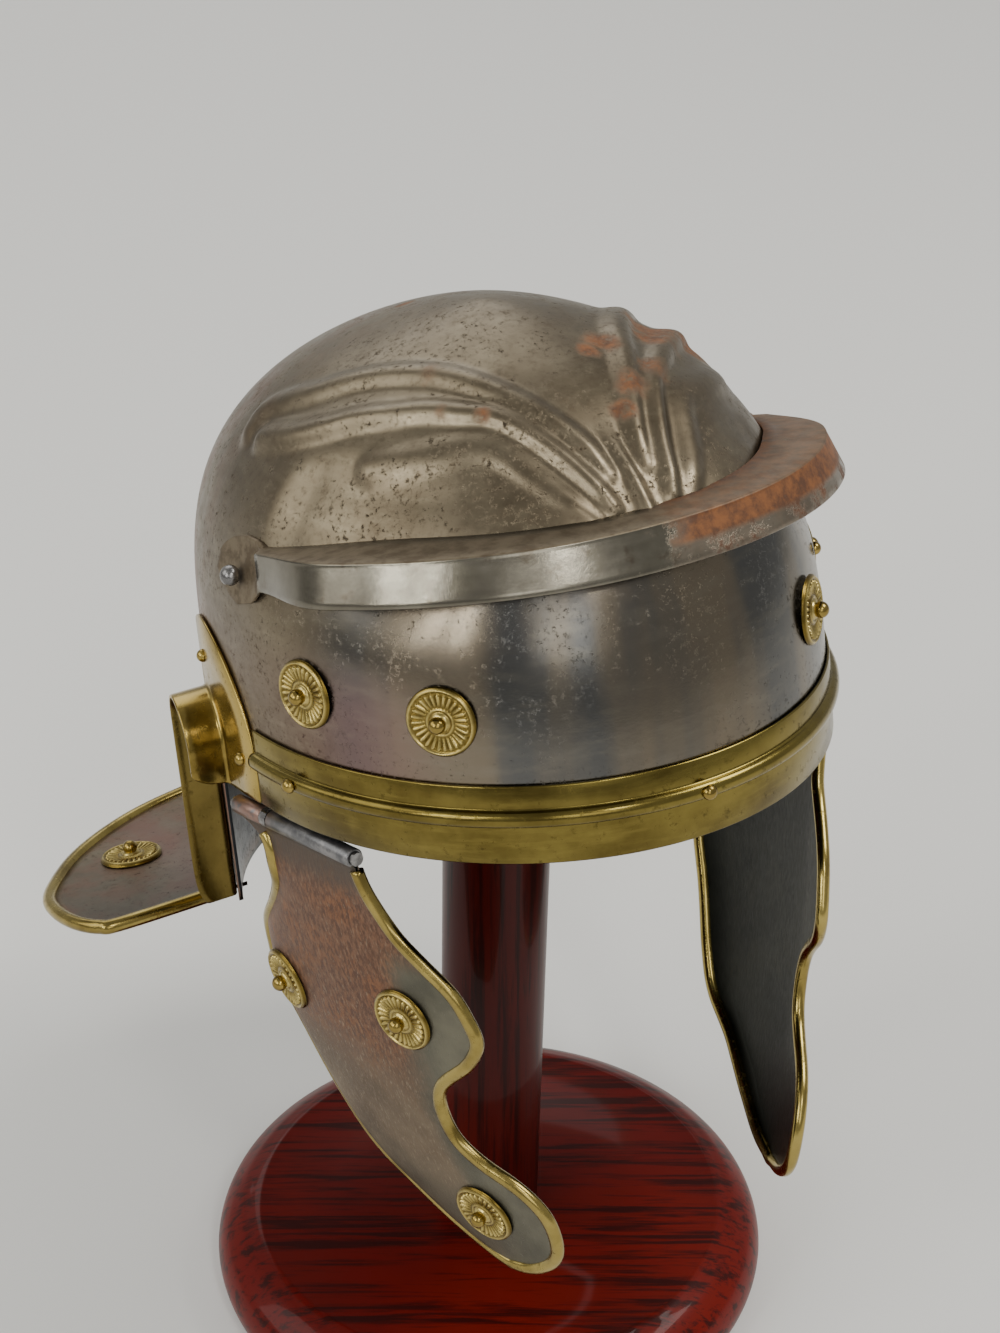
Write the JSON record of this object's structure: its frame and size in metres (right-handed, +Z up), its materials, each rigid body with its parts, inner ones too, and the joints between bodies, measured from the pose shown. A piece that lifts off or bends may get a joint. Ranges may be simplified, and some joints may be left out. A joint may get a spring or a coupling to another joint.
{
  "type": "roman legionary helmet on a display stand",
  "caption": "Roman legionary helmet of the imperial kind in aged steel with brass trim, hinged cheek guards, neck guard, brow guard and rosettes, on a turned wooden stand.",
  "frame": {"origin": "centre of the stand's foot, on the surface it stands on", "axes": "+Z up, the helmet faces -Y, the wearer's left is +X"},
  "size_m": [0.2958, 0.2996, 0.4021],
  "materials": {
    "bowl_steel": "aged brushed steel, brown-grey patina and fine dark pits above, blue-grey polish below, some rust",
    "guard_steel": "polished steel with orange-brown rust over the front",
    "cheek_steel": "rusted steel, red-brown and speckled, blue-grey margins",
    "dark_steel": "dark oiled steel",
    "brass": "aged olive-gold brass",
    "stand_wood": "glossy dark red-brown mahogany lacquer"
  },
  "bodies": {
    "helmet_on_stand": {"stand_base": "stand_wood", "stand_post": "stand_wood", "bowl": "bowl_steel", "brow_guard": "guard_steel", "neck_guard": "bowl_steel", "brow_band": "brass", "neck_guard_edging": "brass", "bowl_front_rosette_right": "brass", "bowl_front_rosette_right_rivet": "brass", "bowl_side_rosette_right": "brass", "bowl_side_rosette_right_rivet": "brass", "neck_rosette_right": "brass", "neck_rosette_right_rivet": "brass", "ear_guard_right": "brass", "ear_guard_rivet_right_1": "brass", "ear_guard_rivet_right_2": "brass", "ear_guard_rivet_right_3": "brass", "brow_guard_rivet_right": "dark_steel", "hinge_pin_right": "dark_steel", "hinge_leaf_right": "dark_steel", "bowl_front_rosette_left": "brass", "bowl_front_rosette_left_rivet": "brass", "bowl_side_rosette_left": "brass", "bowl_side_rosette_left_rivet": "brass", "neck_rosette_left": "brass", "neck_rosette_left_rivet": "brass", "ear_guard_left": "brass", "ear_guard_rivet_left_1": "brass", "ear_guard_rivet_left_2": "brass", "ear_guard_rivet_left_3": "brass", "brow_guard_rivet_left": "dark_steel", "hinge_pin_left": "dark_steel", "hinge_leaf_left": "dark_steel", "band_rivet_right": "brass", "band_rivet_front": "brass", "band_rivet_left": "brass", "bowl_side_rivet_left": "dark_steel"},
    "cheek_guard_right": {"cheek_front_rosette_right": "brass", "cheek_front_rosette_right_rivet": "brass", "cheek_rear_rosette_right": "brass", "cheek_rear_rosette_right_rivet": "brass", "cheek_lower_rosette_right": "brass", "cheek_lower_rosette_right_rivet": "brass", "cheek_plate_right": "cheek_steel", "cheek_edging_right": "brass"},
    "cheek_guard_left": {"cheek_front_rosette_left": "brass", "cheek_front_rosette_left_rivet": "brass", "cheek_rear_rosette_left": "brass", "cheek_rear_rosette_left_rivet": "brass", "cheek_lower_rosette_left": "brass", "cheek_lower_rosette_left_rivet": "brass", "cheek_plate_left": "cheek_steel", "cheek_edging_left": "brass"}
  },
  "joints": [
    {"name": "cheek_hinge_right", "type": "hinge", "parent": "helmet_on_stand", "child": "cheek_guard_right", "pos_m": [-0.0887, -0.02692, 0.24928], "axis": [-0.1867, 0.9653, -0.1824], "range_deg": [-12, 100]},
    {"name": "cheek_hinge_left", "type": "hinge", "parent": "helmet_on_stand", "child": "cheek_guard_left", "pos_m": [0.1067, -0.02692, 0.24928], "axis": [-0.1867, -0.9653, 0.1824], "range_deg": [-12, 100]}
  ]
}
